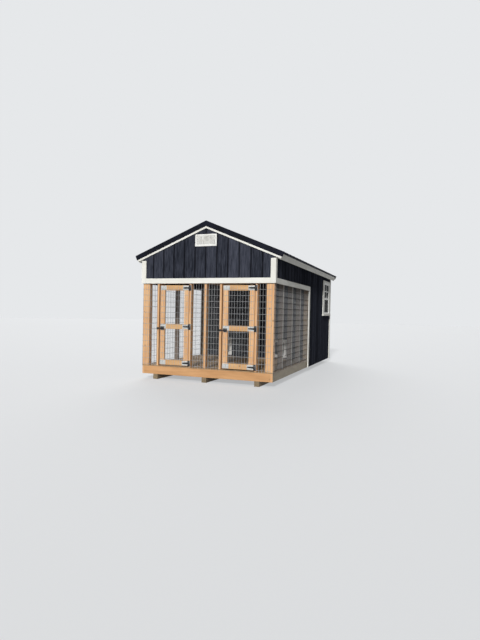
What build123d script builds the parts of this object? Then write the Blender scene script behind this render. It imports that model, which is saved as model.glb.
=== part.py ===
"""Kennel shed on skids: a closed box behind two wire-mesh runs, under one gable roof.

Millimetres, +Z up. X runs across the building, Y from the gates at the front (-Y) to the back.
The origin is on the ground, under the middle of the building.
"""

import os
from math import cos, floor, radians, sin, tan

from build123d import *

os.makedirs("parts", exist_ok=True)

# Building, measured over the wall framing
building_width = 2438.0
building_length = 4877.0
run_length = 2438.0
wall_height = 1873.0
roof_angle = 22.3

# Lumber and sheets
stud_thickness = 38.0
stud_depth = 89.0
siding_thickness = 12.0
trim_thickness = 16.0
trim_width = 89.0
corner_return = 64.0
corner_board_drop = 26.0

# Floor
skid_size = 89.0
skid_count = 3
skid_spacing = 950.0
rim_height = 140.0
rim_thickness = 38.0
joist_count = 13
deck_thickness = 16.0

# Run front
header_height = 89.0
gate_opening_height = 1444.0
gate_opening_width = 595.0
gate_opening_centre = 600.0
gate_width = 560.0
gate_thickness = 38.0
gate_rail = 89.0
gate_top_gap = 30.0
gate_floor_gap = 20.0
middle_rail_height = 697.0
hinge_gap = 8.0

# Run sides and partition
side_stud_count = 3
first_side_stud = 570.0
side_stud_spacing = 610.0
side_siding_start = 20.0
end_board_start = -20.0
partition_post_from_front = 779.0

# Welded wire
wire = 2.5
mesh_cell_width = 50.8
mesh_cell_height = 101.6
wide_cell = 254.0
mesh_below_floor = 16.0
mesh_lap = 6.0
gate_mesh_inset = 10.0

# Hinges and latches
hinge_plate = 3.0
barrel_radius = 6.0
pin_radius = 3.0
pin_clearance = 0.4
barrel_sides = 12
strap_length = 110.0
strap_root = 32.0
strap_tip = 20.0
leaf_height = 100.0
leaf_width = 28.0
knuckle_gap = 1.0
latch_height = 660.0
latch_plate_width = 72.0
latch_plate_height = 64.0
latch_boss = 6.0
latch_bar_height = 16.0
latch_bar_thickness = 5.0
latch_bar_reach = 64.0
latch_clearance = 6.0

# Dog doorways in the inner wall
dog_door_width = 190.0
dog_door_height = 260.0
dog_door_centre = 627.0
dog_door_sill = 84.0
dog_frame_width = 62.0
dog_frame_thickness = 20.0

# Windows in the box, one on each side
window_width = 610.0
window_height = 762.0
window_sill_height = 967.0
window_centre_from_back = 504.0
window_frame_face = 26.0
sash_face = 26.0
muntin_face = 20.0
window_frame_depth = 60.0
glass_thickness = 4.0
window_casing = 140.0
window_head = 44.0
sill_depth = 38.0
sill_height = 38.0
sill_horn = 38.0

# Gable vents
vent_width = 398.0
vent_height = 203.0
vent_flange = 22.0
vent_depth = 10.0
vent_gap = 3.0
vent_slat_count = 9
vent_mullions = 2
vent_mullion = 8.0
vent_wall = 3.0
slat_thickness = 2.0
slat_width = 22.0
slat_angle = 40.0

# Roof
rafter_depth = 89.0
rafter_count = 9
rafter_seat = 12.0
eave_overhang = 132.0
roof_sheathing = 18.0
metal = 1.0
rib_height = 25.0
rib_pitch = 228.6
rib_base = 60.0
rib_top = 22.0
drip = 15.0
eave_trim_face = 16.0
sheathing_gap = 4.0
ridge_gap = 10.0
cap_leg = 150.0
gable_trim_face = 88.0
gable_trim_flange = 60.0
rake_width = 75.0

# Levels and planes worked out from the sizes above
half_width = building_width / 2
y_front = -building_length / 2
y_back = building_length / 2
y_box = y_front + run_length
z_rim = skid_size
z_deck = z_rim + rim_height
z_floor = z_deck + deck_thickness
z_plate = z_floor + wall_height
z_head = z_floor + gate_opening_height
z_corner = z_plate - corner_board_drop
x_siding = half_width + siding_thickness
x_trim = x_siding + trim_thickness
x_fascia = half_width + eave_overhang
x_tail = x_fascia - trim_thickness * cos(radians(roof_angle))
y_siding = y_front - siding_thickness
y_trim = y_siding - trim_thickness
slope = tan(radians(roof_angle))
drop = 1 / cos(radians(roof_angle))
inner_half = half_width - stud_depth


def rafter_bottom(x):
    """Height of the rafters' lower edge at a distance x from the ridge line."""
    return z_plate - rafter_seat + (half_width - x) * slope


def rafter_top(x):
    """Height of the rafters' upper edge at a distance x from the ridge line."""
    return rafter_bottom(x) + rafter_depth * drop


def roof_point(x, height):
    """A point above the rafters' upper edge at x, by a height measured square to the slope."""
    return (x + height * sin(radians(roof_angle)), rafter_top(x) + height / drop)


def over_roof(edge, low, high):
    """Outline over both slopes between two heights above the rafters, cut square at the eaves."""
    lower, upper = roof_point(edge, low), roof_point(edge, high)
    z_ridge = rafter_top(0)
    below = [(-lower[0], lower[1]), (0, z_ridge + low * drop), lower]
    return below + [upper, (0, z_ridge + high * drop), (-upper[0], upper[1])]


def board(low, high):
    """Adds a square board to the open part, from its lowest corner to its highest."""
    with Locations(tuple((a + b) / 2 for a, b in zip(low, high))):
        Box(*(b - a for a, b in zip(low, high)))


def side_board(side, x_inner, x_outer, y_low, y_high, z_low, z_high):
    """Adds a board on the left (side -1) or right (side 1), between two distances from the middle."""
    x_low, x_high = sorted((side * x_inner, side * x_outer))
    board((x_low, y_low, z_low), (x_high, y_high, z_high))


def sheet(outline, y_low, y_high):
    """A flat piece that stands across the building, cut to an outline of X and Z points."""
    with BuildPart() as made:
        with BuildSketch(Plane.XZ.offset(-y_high)):
            with BuildLine():
                Polyline(*outline, close=True)
            make_face()
        extrude(amount=y_high - y_low)
    return made.part


def mesh_sheet(plane, width, height, cell_width, cell_height):
    """Welded wire of one width and height, centred on the plane, in cells near the size asked for."""
    columns = round((width - wire) / cell_width)
    rows = round((height - wire) / cell_height)
    pitch_x = (width - wire) / columns
    pitch_y = (height - wire) / rows
    with BuildPart() as made:
        with BuildSketch(plane):
            Rectangle(width, height)
            with GridLocations(pitch_x, pitch_y, columns, rows):
                Rectangle(pitch_x - wire, pitch_y - wire, mode=Mode.SUBTRACT)
        extrude(amount=wire)
    return made.part


def gable_outline(half, z_bottom, height_at, flat=0.0):
    """A wall outline with two slopes, from z_bottom up to height_at(x), flat for that width at the top."""
    top = [(flat, height_at(flat)), (-flat, height_at(flat))] if flat else [(0, height_at(0))]
    low_corners = [(-half, z_bottom), (half, z_bottom)]
    return low_corners + [(half, height_at(half))] + top + [(-half, height_at(half))]


def barrel(radius, length, mode=Mode.ADD):
    """Adds or cuts an upright rod with a few flat sides, centred on the present location."""
    with BuildPart(mode=Mode.PRIVATE) as rod:
        with BuildSketch(Plane.XY.offset(-length / 2)):
            RegularPolygon(radius, barrel_sides)
        extrude(amount=length)
    add(rod.part, mode=mode)


def save(part, name):
    part.label = name
    export_step(part, f"parts/{name}.step")


# Floor frame: skids on the ground, rim boards and joists on them, decking on top
with BuildPart() as skids:
    with GridLocations(skid_spacing, 0, skid_count, 1):
        Box(skid_size, building_length, skid_size, align=(Align.CENTER, Align.CENTER, Align.MIN))
save(skids.part, "skids")

with BuildPart() as side_rims:
    for side in (-1, 1):
        side_board(side, half_width - rim_thickness, half_width, y_front, y_back, z_rim, z_deck)
save(side_rims.part, "side_rims")

joist_spacing = (building_length - rim_thickness) / (joist_count - 1)
with BuildPart() as cross_joists:
    with Locations((0, 0, z_rim)):
        with GridLocations(0, joist_spacing, 1, joist_count):
            Box(
                building_width - 2 * rim_thickness,
                rim_thickness,
                rim_height,
                align=(Align.CENTER, Align.CENTER, Align.MIN),
            )
save(cross_joists.part, "cross_joists")

with BuildPart() as run_floor:
    board((-half_width, y_front, z_deck), (half_width, y_box, z_floor))
save(run_floor.part, "run_floor")

with BuildPart() as box_floor:
    board((-half_width, y_box, z_deck), (half_width, y_back, z_floor))
save(box_floor.part, "box_floor")

# Corner posts: a flat stud and one on edge beside it, in the same order on both corners
z_post_top = z_plate - stud_thickness
post_width = stud_depth + stud_thickness
for name, post_left in (("corner_post_left", -half_width), ("corner_post_right", half_width - post_width)):
    with BuildPart() as post:
        edge_stud = post_left + stud_depth
        board((post_left, y_front, z_floor), (edge_stud, y_front + stud_thickness, z_post_top))
        board(
            (edge_stud, y_front, z_floor),
            (edge_stud + stud_thickness, y_front + stud_depth, z_post_top),
        )
    save(post.part, name)

with BuildPart() as centre_post:
    board(
        (-stud_thickness / 2, y_front, z_floor),
        (stud_thickness / 2, y_front + stud_depth, z_head),
    )
save(centre_post.part, "centre_post")

# Jambs stand on both sides of each gate opening
half_opening = gate_opening_width / 2
with BuildPart() as gate_jambs:
    for opening in (-gate_opening_centre, gate_opening_centre):
        for jamb in (opening - half_opening - stud_thickness, opening + half_opening):
            board((jamb, y_front, z_floor), (jamb + stud_thickness, y_front + stud_depth, z_head))
save(gate_jambs.part, "gate_jambs")

with BuildPart() as front_header:
    board(
        (post_width - half_width, y_front, z_head),
        (half_width - post_width, y_front + stud_depth, z_head + header_height),
    )
save(front_header.part, "front_header")

with BuildPart() as run_studs:
    for side in (-1, 1):
        for index in range(side_stud_count):
            y_stud = y_front + first_side_stud + index * side_stud_spacing
            side_board(
                side,
                inner_half,
                half_width,
                y_stud - stud_thickness / 2,
                y_stud + stud_thickness / 2,
                z_floor,
                z_post_top,
            )
save(run_studs.part, "run_studs")

with BuildPart() as top_plates:
    for side in (-1, 1):
        side_board(side, inner_half, half_width, y_front, y_back, z_post_top, z_plate)
save(top_plates.part, "top_plates")

# Partition between the two runs
y_partition = y_front + stud_depth
y_inner_face = y_box - siding_thickness
partition_length = y_inner_face - y_partition
with BuildPart() as partition_rail:
    board(
        (-stud_thickness / 2, y_partition, z_head),
        (stud_thickness / 2, y_inner_face, z_head + header_height),
    )
save(partition_rail.part, "partition_rail")

with BuildPart() as partition_post:
    y_post = y_partition + partition_post_from_front
    board(
        (-stud_thickness / 2, y_post - stud_depth / 2, z_floor),
        (stud_thickness / 2, y_post + stud_depth / 2, z_head),
    )
save(partition_post.part, "partition_post")

# Welded wire over the fixed bays of the front, over the sides and along the partition
z_mesh_low = z_floor - mesh_below_floor
mesh_middle = (z_mesh_low + z_head) / 2
mesh_height = z_head - z_mesh_low
bay_edge = gate_opening_centre - half_opening - stud_thickness + mesh_lap
outer_edge = gate_opening_centre + half_opening + stud_thickness - mesh_lap
with BuildPart() as front_mesh:
    for x_low, x_high in (
        (-half_width, -outer_edge),
        (-bay_edge, bay_edge),
        (outer_edge, half_width - stud_thickness),
    ):
        bay = Plane(((x_low + x_high) / 2, y_front, mesh_middle), x_dir=(1, 0, 0), z_dir=(0, -1, 0))
        add(mesh_sheet(bay, x_high - x_low, mesh_height, 2 * mesh_cell_width, 2 * mesh_cell_height))
save(front_mesh.part, "front_mesh")

y_mesh_end = y_box + side_siding_start
for name, side in (("side_mesh_left", -1), ("side_mesh_right", 1)):
    wall = Plane(
        (side * half_width, (y_front + y_mesh_end) / 2, mesh_middle),
        x_dir=(0, 1, 0),
        z_dir=(side, 0, 0),
    )
    save(mesh_sheet(wall, y_mesh_end - y_front, mesh_height, wide_cell, wide_cell), name)

partition_plane = Plane(
    (stud_thickness / 2, (y_partition + y_inner_face) / 2, (z_floor + z_head + header_height) / 2),
    x_dir=(0, 1, 0),
    z_dir=(1, 0, 0),
)
save(
    mesh_sheet(
        partition_plane, partition_length, z_head + header_height - z_floor, wide_cell, wide_cell
    ),
    "partition_mesh",
)

# Siding. The sheets at the two ends cover the edges of the side sheets
z_side_siding = rafter_bottom(x_siding)
z_vent = rafter_bottom(vent_width / 2) - vent_gap - vent_height / 2
vent_opening = (vent_width - 2 * vent_flange, vent_height - 2 * vent_flange)
for name, y_low, z_low in (
    ("front_gable_siding", y_siding, z_head),
    ("back_siding", y_back, z_rim),
):
    outline = gable_outline(x_siding, z_low, rafter_top)
    with BuildPart() as siding:
        add(sheet(outline, y_low, y_low + siding_thickness))
        with Locations((0, y_low + siding_thickness / 2, z_vent)):
            Box(vent_opening[0], siding_thickness, vent_opening[1], mode=Mode.SUBTRACT)
    save(siding.part, name)

with BuildPart() as run_siding:
    for side in (-1, 1):
        side_board(
            side, half_width, x_siding, y_front, y_box + side_siding_start, z_head, z_side_siding
        )
save(run_siding.part, "run_siding")

# Box side walls, each a siding sheet over a framed wall, with the window cut through both
y_window = y_back - window_centre_from_back
z_window = z_floor + window_sill_height + window_height / 2
for side_name, side in (("left", -1), ("right", 1)):
    with BuildPart() as box_siding:
        side_board(
            side, half_width, x_siding, y_box + side_siding_start, y_back, z_rim, z_side_siding
        )
        with Locations((side * (half_width + siding_thickness / 2), y_window, z_window)):
            Box(siding_thickness, window_width, window_height, mode=Mode.SUBTRACT)
    save(box_siding.part, f"box_siding_{side_name}")

    with BuildPart() as box_wall:
        side_board(side, inner_half, half_width, y_box, y_back, z_floor, z_post_top)
        with Locations((side * (half_width - stud_depth / 2), y_window, z_window)):
            Box(stud_depth, window_width, window_height, mode=Mode.SUBTRACT)
    save(box_wall.part, f"box_wall_{side_name}")


# End wall of the box, and the inner wall between the box and the runs
ridge_board_bottom = rafter_top(stud_thickness / 2) - rafter_depth


def under_roof(x):
    """Height of a framed wall that ends under the rafters and the ridge board."""
    return min(rafter_bottom(x), ridge_board_bottom)


wall_outline = gable_outline(inner_half, z_floor, under_roof, stud_thickness / 2)
with BuildPart() as back_wall:
    add(sheet(wall_outline, y_back - stud_depth, y_back))
    with Locations((0, y_back - stud_depth / 2, z_vent)):
        Box(vent_opening[0], stud_depth, vent_opening[1], mode=Mode.SUBTRACT)
save(back_wall.part, "back_wall")

z_dog_door = z_floor + dog_door_sill + dog_door_height / 2
inner_wall_depth = stud_depth + siding_thickness
with BuildPart() as inner_wall:
    add(sheet(wall_outline, y_inner_face, y_box + stud_depth))
    for x_door in (-dog_door_centre, dog_door_centre):
        with Locations((x_door, y_inner_face + inner_wall_depth / 2, z_dog_door)):
            Box(dog_door_width, inner_wall_depth, dog_door_height, mode=Mode.SUBTRACT)
save(inner_wall.part, "inner_wall")

with BuildPart() as dog_door_frames:
    with BuildSketch(Plane.XZ.offset(-y_inner_face)):
        with Locations((-dog_door_centre, z_dog_door), (dog_door_centre, z_dog_door)):
            Rectangle(dog_door_width + 2 * dog_frame_width, dog_door_height + 2 * dog_frame_width)
            Rectangle(dog_door_width, dog_door_height, mode=Mode.SUBTRACT)
    extrude(amount=dog_frame_thickness)
save(dog_door_frames.part, "dog_door_frames")

# Windows: frame with an upper sash of four lights and a plain lower sash
opening_width = window_width - 2 * window_frame_face
opening_height = window_height - 2 * window_frame_face
sash_height = (opening_height + sash_face) / 2
pane_width = opening_width - 2 * sash_face
pane_height = sash_height - 2 * sash_face
upper_pane = (opening_height - sash_height) / 2
with BuildPart() as window_frames:
    for side in (-1, 1):
        outside = Plane(
            (side * x_siding, y_window, z_window), x_dir=(0, -side, 0), z_dir=(-side, 0, 0)
        )
        with BuildSketch(outside):
            Rectangle(window_width, window_height)
            with Locations((0, upper_pane), (0, -upper_pane)):
                Rectangle(pane_width, pane_height, mode=Mode.SUBTRACT)
            with Locations((0, upper_pane)):
                Rectangle(muntin_face, pane_height)
                Rectangle(pane_width, muntin_face)
        extrude(amount=window_frame_depth)
save(window_frames.part, "window_frames")

z_panes = (z_window - upper_pane, z_window + upper_pane)
with BuildPart() as window_glass:
    for side in (-1, 1):
        x_glass = x_siding - window_frame_depth / 2
        pieces = [(pane_width, pane_height, y_window, z_panes[0])]
        light_width = (pane_width - muntin_face) / 2
        light_height = (pane_height - muntin_face) / 2
        for column in (-1, 1):
            for row in (-1, 1):
                y_light = y_window + column * (light_width + muntin_face) / 2
                z_light = z_panes[1] + row * (light_height + muntin_face) / 2
                pieces.append((light_width, light_height, y_light, z_light))
        for width, height, y_piece, z_piece in pieces:
            with Locations((side * x_glass, y_piece, z_piece)):
                Box(glass_thickness, width, height)
save(window_glass.part, "window_glass")

# White boards around each window, on a thick sill board, no further back than the corner board
z_window_low = z_window - window_height / 2
z_window_high = z_window + window_height / 2
y_window_low = y_window - window_width / 2
y_window_high = y_window + window_width / 2
low = y_window_low - window_casing
high = min(y_window_high + window_casing, -y_siding - corner_return)
with BuildPart() as window_trims:
    for side in (-1, 1):
        side_board(side, x_siding, x_trim, low, y_window_low, z_window_low, z_window_high)
        side_board(side, x_siding, x_trim, y_window_high, high, z_window_low, z_window_high)
        side_board(side, x_siding, x_trim, low, high, z_window_high, z_window_high + window_head)
        side_board(
            side,
            x_siding,
            x_siding + sill_depth,
            low - sill_horn,
            high,
            z_window_low - sill_height,
            z_window_low,
        )
save(window_trims.part, "window_trims")

# Louvred vents: a flange on the siding, a box through it, and sloping slats between two mullions
clear_width = vent_opening[0] - 2 * vent_wall
clear_height = vent_opening[1] - 2 * vent_wall
slat_spacing = clear_height / vent_slat_count
for name, outward in (("front_vent", -1), ("back_vent", 1)):
    y_face = outward * -y_siding
    y_flange = y_face + outward * vent_depth / 2
    y_through = y_face - outward * siding_thickness / 2
    y_middle = y_face + outward * (vent_depth - siding_thickness) / 2
    with BuildPart() as vent:
        with Locations((0, y_flange, z_vent)):
            Box(vent_width, vent_depth, vent_height)
        with Locations((0, y_through, z_vent)):
            Box(vent_opening[0], siding_thickness, vent_opening[1])
        with Locations((0, y_middle, z_vent)):
            Box(clear_width, vent_depth + siding_thickness, clear_height, mode=Mode.SUBTRACT)
        for index in range(vent_slat_count):
            z_slat = z_vent - clear_height / 2 + (index + 0.5) * slat_spacing
            with Locations(Location((0, y_middle, z_slat), (outward * slat_angle, 0, 0))):
                Box(clear_width + vent_wall, slat_thickness, slat_width)
        for index in range(vent_mullions):
            x_mullion = ((index + 1) / (vent_mullions + 1) - 0.5) * clear_width
            with Locations((x_mullion, y_middle, z_vent)):
                Box(vent_mullion, vent_depth + siding_thickness - 4, clear_height + vent_wall)
    save(vent.part, name)

# White trim boards: the front band, the corners, the side bands and the boards that end the runs
z_band_top = z_head + trim_width
with BuildPart() as front_band:
    half_band = x_trim - trim_width
    board((-half_band, y_trim, z_head), (half_band, y_siding, z_band_top))
save(front_band.part, "front_band")

with BuildPart() as corner_boards:
    for end, z_low in ((-1, z_head), (1, z_rim)):
        y_face = sorted((end * -y_siding, end * -y_trim))
        y_return = sorted((end * -y_siding, end * -(y_siding + corner_return)))
        for side in (-1, 1):
            side_board(side, x_trim - trim_width, x_trim, *y_face, z_low, z_corner)
            side_board(side, x_siding, x_trim, *y_return, z_low, z_corner)
save(corner_boards.part, "corner_boards")

y_end_board = y_box + end_board_start
with BuildPart() as side_bands:
    for side in (-1, 1):
        side_board(
            side,
            x_siding,
            x_trim,
            y_siding + corner_return,
            y_end_board + trim_width,
            z_head,
            z_band_top,
        )
save(side_bands.part, "side_bands")

with BuildPart() as run_end_boards:
    for side in (-1, 1):
        side_board(side, x_siding, x_trim, y_end_board, y_end_board + trim_width, z_rim, z_head)
save(run_end_boards.part, "run_end_boards")

# Rafters, notched over the wall plates and cut square at the eaves, on both sides of a ridge board
half_ridge = stud_thickness / 2
x_seat = half_width - rafter_seat / slope
rafter_outline = [
    (half_ridge, rafter_bottom(half_ridge)),
    (x_seat, z_plate),
    (half_width, z_plate),
    (half_width, rafter_bottom(half_width)),
    roof_point(x_tail, -rafter_depth),
    roof_point(x_tail, 0),
    (half_ridge, rafter_top(half_ridge)),
]
rafter_spacing = (building_length - stud_thickness) / (rafter_count - 1)
with BuildPart() as rafters:
    for index in range(rafter_count):
        y_rafter = y_front + index * rafter_spacing
        for side in (-1, 1):
            outline = [(side * x, z) for x, z in rafter_outline]
            add(sheet(outline, y_rafter, y_rafter + stud_thickness))
save(rafters.part, "rafters")

with BuildPart() as ridge_board:
    board(
        (-half_ridge, y_front, ridge_board_bottom),
        (half_ridge, y_back, rafter_top(half_ridge)),
    )
save(ridge_board.part, "ridge_board")

# Sheathing and ribbed steel on each slope, made in planes square to the slope
z_apex = rafter_top(0)
roof_half_length = -y_trim
sheathing_length = (x_tail - sheathing_gap) * drop
panel_length = (x_fascia + drip - ridge_gap) * drop


def slope_plane(side, x_start):
    """A plane square to one slope: local X runs along the ridge, local Y out of the roof."""
    down = (side * cos(radians(roof_angle)), 0, -sin(radians(roof_angle)))
    origin = (side * x_start, 0, rafter_top(x_start))
    return Plane(origin, x_dir=(0, side, 0), z_dir=down)


with BuildPart() as roof_sheathing_sheets:
    for side in (-1, 1):
        with BuildSketch(slope_plane(side, sheathing_gap)):
            with Locations((0, roof_sheathing / 2)):
                Rectangle(2 * roof_half_length, roof_sheathing)
        extrude(amount=sheathing_length)
save(roof_sheathing_sheets.part, "roof_sheathing")

rib_count = floor(2 * (roof_half_length - gable_trim_flange) / rib_pitch)
rib_start = -(rib_count - 1) * rib_pitch / 2
panel_top = [(-roof_half_length, roof_sheathing + metal)]
for index in range(rib_count):
    middle = rib_start + index * rib_pitch
    for across, height in ((-rib_base, 0), (-rib_top, rib_height), (rib_top, rib_height), (rib_base, 0)):
        panel_top.append((middle + across / 2, roof_sheathing + metal + height))
panel_top.append((roof_half_length, roof_sheathing + metal))
with BuildPart() as roof_panels:
    for side in (-1, 1):
        outline = panel_top + [(y, z - metal) for y, z in reversed(panel_top)]
        with BuildSketch(slope_plane(side, ridge_gap)):
            with BuildLine():
                Polyline(*outline, close=True)
            make_face()
        extrude(amount=panel_length)
save(roof_panels.part, "roof_panels")

# Folded ridge cap and gable trims lie on the ribs
cap_low = roof_sheathing + metal + rib_height


def cap_line(height):
    """Two legs of the ridge cap at a height above the rafters, from the left edge to the right."""
    edge = cap_leg * cos(radians(roof_angle))
    z_edge = rafter_top(edge) + height * drop
    return [(-edge, z_edge), (0, z_apex + height * drop), (edge, z_edge)]


trim_top = cap_low + metal
with BuildPart() as ridge_cap:
    outline = cap_line(trim_top) + list(reversed(cap_line(trim_top + metal)))
    add(sheet(outline, -roof_half_length, roof_half_length))
save(ridge_cap.part, "ridge_cap")


with BuildPart() as gable_trims:
    trim_face = over_roof(x_fascia + drip, trim_top - gable_trim_face, trim_top)
    trim_flange = over_roof(x_fascia + drip, cap_low, trim_top)
    for end in (-1, 1):
        face = sorted((end * roof_half_length, end * (roof_half_length + metal)))
        flange = sorted((end * roof_half_length, end * (roof_half_length - gable_trim_flange)))
        add(sheet(trim_face, *face))
        add(sheet(trim_flange, *flange))
save(gable_trims.part, "gable_trims")


def eave_strip(inner, outer, low, high, y_end):
    """A strip along both eaves, square to the slope, between two heights above the rafters."""
    outline = [
        roof_point(inner, low),
        roof_point(outer, low),
        roof_point(outer, high),
        roof_point(inner, high),
    ]
    with BuildPart() as made:
        for side in (-1, 1):
            add(sheet([(side * x, z) for x, z in outline], -y_end, y_end))
    return made.part


save(eave_strip(x_tail, x_fascia, -rafter_depth, roof_sheathing, -y_siding), "fascias")
drip_low = roof_sheathing - eave_trim_face
save(
    eave_strip(x_fascia, x_fascia + metal / drop, drip_low, roof_sheathing, roof_half_length),
    "eave_trims",
)

rake_outline = over_roof(x_fascia, -rake_width, 0)
with BuildPart() as rake_boards:
    add(sheet(rake_outline, y_trim, y_siding))
    add(sheet(rake_outline, -y_siding, -y_trim))
save(rake_boards.part, "rake_boards")

# Gates, both hung on their right edge and opening to the front
gate_height = gate_opening_height - gate_top_gap - gate_floor_gap
z_gate = z_floor + gate_floor_gap
z_middle_rail = z_floor + middle_rail_height
z_gate_top = z_gate + gate_height
rail_heights = (z_gate + gate_rail / 2, z_middle_rail, z_gate_top - gate_rail / 2)
z_latch = z_floor + latch_height
y_plate = y_front - wire
y_barrel = y_plate - barrel_radius
strap_knuckle = strap_root - 2 * knuckle_gap
leaf_knuckle = (leaf_height - strap_root) / 2
y_boss = y_plate - hinge_plate - latch_boss
tab_offset = latch_bar_height / 2 + latch_clearance + hinge_plate / 2
for name, opening in (("gate_left", -gate_opening_centre), ("gate_right", gate_opening_centre)):
    jamb_edge = opening + half_opening
    x_pivot = jamb_edge - hinge_gap / 2
    gate_edge = jamb_edge - hinge_gap
    gate_latch_edge = gate_edge - gate_width
    x_gate = (gate_edge + gate_latch_edge) / 2
    gate_plane = Plane((x_gate, y_front, 0), x_dir=(1, 0, 0), z_dir=(0, 1, 0))

    with BuildPart() as gate_frame:
        board((gate_latch_edge, y_front, z_gate), (gate_edge, y_front + gate_thickness, z_gate_top))
        for low_rail, high_rail in zip(rail_heights, rail_heights[1:]):
            low, high = low_rail + gate_rail / 2, high_rail - gate_rail / 2
            with Locations((x_gate, y_front + gate_thickness / 2, (low + high) / 2)):
                Box(gate_width - 2 * gate_rail, gate_thickness, high - low, mode=Mode.SUBTRACT)
    save(gate_frame.part, f"{name}_frame")

    gate_face = Plane((x_gate, y_front, z_gate + gate_height / 2), x_dir=(1, 0, 0), z_dir=(0, -1, 0))
    wire_width = gate_width - 2 * gate_mesh_inset
    wire_height = gate_height - 2 * gate_mesh_inset
    gate_mesh = mesh_sheet(gate_face, wire_width, wire_height, 2 * mesh_cell_width, 2 * mesh_cell_height)
    save(gate_mesh, f"{name}_mesh")

    with BuildPart() as gate_hardware:
        for z_hinge in rail_heights:
            with BuildSketch(Plane.XZ.offset(-y_plate)):
                with BuildLine():
                    Polyline(
                        (x_pivot, z_hinge - strap_knuckle / 2),
                        (x_pivot, z_hinge + strap_knuckle / 2),
                        (x_pivot - strap_length, z_hinge + strap_tip / 2),
                        (x_pivot - strap_length, z_hinge - strap_tip / 2),
                        close=True,
                    )
                make_face()
            extrude(amount=hinge_plate)
            with Locations((x_pivot, y_barrel, z_hinge)):
                barrel(barrel_radius, strap_knuckle)
                barrel(pin_radius + pin_clearance, strap_knuckle, Mode.SUBTRACT)
        plate_left = gate_latch_edge + gate_mesh_inset
        plate_right = plate_left + latch_plate_width
        board(
            (plate_left, y_plate - hinge_plate, z_latch - latch_plate_height / 2),
            (plate_right, y_plate, z_latch + latch_plate_height / 2),
        )
        board(
            (plate_left, y_boss, z_latch - latch_bar_height / 2),
            (plate_right, y_plate - hinge_plate, z_latch + latch_bar_height / 2),
        )
        board(
            (gate_latch_edge - latch_bar_reach, y_boss - latch_bar_thickness, z_latch - latch_bar_height / 2),
            (plate_right, y_boss, z_latch + latch_bar_height / 2),
        )
    save(gate_hardware.part, f"{name}_hardware")

# Hinge leaves with their pins, and latch catches, on the jambs
with BuildPart() as hinge_leaves:
    for opening in (-gate_opening_centre, gate_opening_centre):
        jamb_edge = opening + half_opening
        x_pivot = jamb_edge - hinge_gap / 2
        x_leaf = x_pivot + barrel_radius + knuckle_gap
        for z_hinge in rail_heights:
            board(
                (x_leaf, y_plate - hinge_plate, z_hinge - leaf_height / 2),
                (x_leaf + leaf_width, y_front, z_hinge + leaf_height / 2),
            )
            for end in (-1, 1):
                z_knuckle = z_hinge + end * (leaf_height - leaf_knuckle) / 2
                board(
                    (x_pivot, y_plate - hinge_plate, z_knuckle - leaf_knuckle / 2),
                    (x_leaf, y_plate, z_knuckle + leaf_knuckle / 2),
                )
                with Locations((x_pivot, y_barrel, z_knuckle)):
                    barrel(barrel_radius, leaf_knuckle)
            with Locations((x_pivot, y_barrel, z_hinge)):
                barrel(pin_radius, leaf_height)
save(hinge_leaves.part, "hinge_leaves")

with BuildPart() as latch_catches:
    for opening in (-gate_opening_centre, gate_opening_centre):
        x_catch = opening - half_opening - (leaf_width + mesh_lap) / 2
        half_catch = leaf_width / 2
        z_reach = tab_offset + hinge_plate / 2
        board(
            (x_catch - half_catch, y_plate - hinge_plate, z_latch - z_reach),
            (x_catch + half_catch, y_front, z_latch + z_reach),
        )
        for end in (-1, 1):
            z_tab = z_latch + end * tab_offset
            board(
                (x_catch - half_catch, y_boss - 2 * latch_bar_thickness, z_tab - hinge_plate / 2),
                (x_catch + half_catch, y_plate - hinge_plate, z_tab + hinge_plate / 2),
            )
save(latch_catches.part, "latch_catches")
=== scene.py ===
"""Looks of the two-run kennel shed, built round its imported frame. Metres, +Z up, gates towards -Y."""

from math import cos, radians, sin, tan

import bmesh
import bpy
from mathutils import Matrix, Vector


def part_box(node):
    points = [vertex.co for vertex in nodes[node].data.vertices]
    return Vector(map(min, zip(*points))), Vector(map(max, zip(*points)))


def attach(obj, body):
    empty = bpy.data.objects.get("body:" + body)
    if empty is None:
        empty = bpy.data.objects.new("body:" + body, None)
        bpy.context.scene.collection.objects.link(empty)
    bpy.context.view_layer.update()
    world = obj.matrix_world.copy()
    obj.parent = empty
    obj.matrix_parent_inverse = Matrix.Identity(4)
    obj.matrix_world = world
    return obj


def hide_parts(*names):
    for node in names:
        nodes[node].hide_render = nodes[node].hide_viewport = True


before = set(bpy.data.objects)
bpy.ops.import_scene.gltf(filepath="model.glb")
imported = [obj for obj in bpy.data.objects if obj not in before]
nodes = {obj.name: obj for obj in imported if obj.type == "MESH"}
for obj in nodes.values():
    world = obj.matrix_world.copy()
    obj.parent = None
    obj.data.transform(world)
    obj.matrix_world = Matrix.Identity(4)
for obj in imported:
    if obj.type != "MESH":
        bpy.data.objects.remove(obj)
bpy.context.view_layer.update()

# Sizes that repeat those of the part
roof_slope = radians(22.3)
stud = 0.038
board_width = 0.089
gate_opening_centre = 0.600
gate_opening_half = 0.2975
mesh_lap = 0.006
dog_door_centre = 0.627
dog_door_width = 0.190
dog_frame_face = 0.062
vent_flange = 0.022
rib_pitch = 0.2286
rib_height = 0.025
rib_base = 0.060
roof_thickness = 0.019
gable_trim_flange = 0.060

gate_rail_heights = (0.3095, 0.942, 1.6145)
gate_hinge_gap = 0.008
plate_face = 0.0055
hinge_leaf_offset = 0.021
latch_height = 0.905
latch_plate_width = 0.072
latch_plate_height = 0.064
latch_bar_face = 0.0165
side_stud_spacing = 0.610
window_frame_face = 0.026
sash_face = 0.026
muntin_face = 0.020
window_casing = 0.140
window_head = 0.044

# Boards and siding
board_ease = 0.0025
vent_ease = 0.0008
door_frame_ease = 0.005
tail_gap = 0.001
lit_face_depth = 0.004
sawn_depth = 0.0008
groove_pitch = 0.2032
groove_width = 0.010
groove_depth = 0.006

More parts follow.
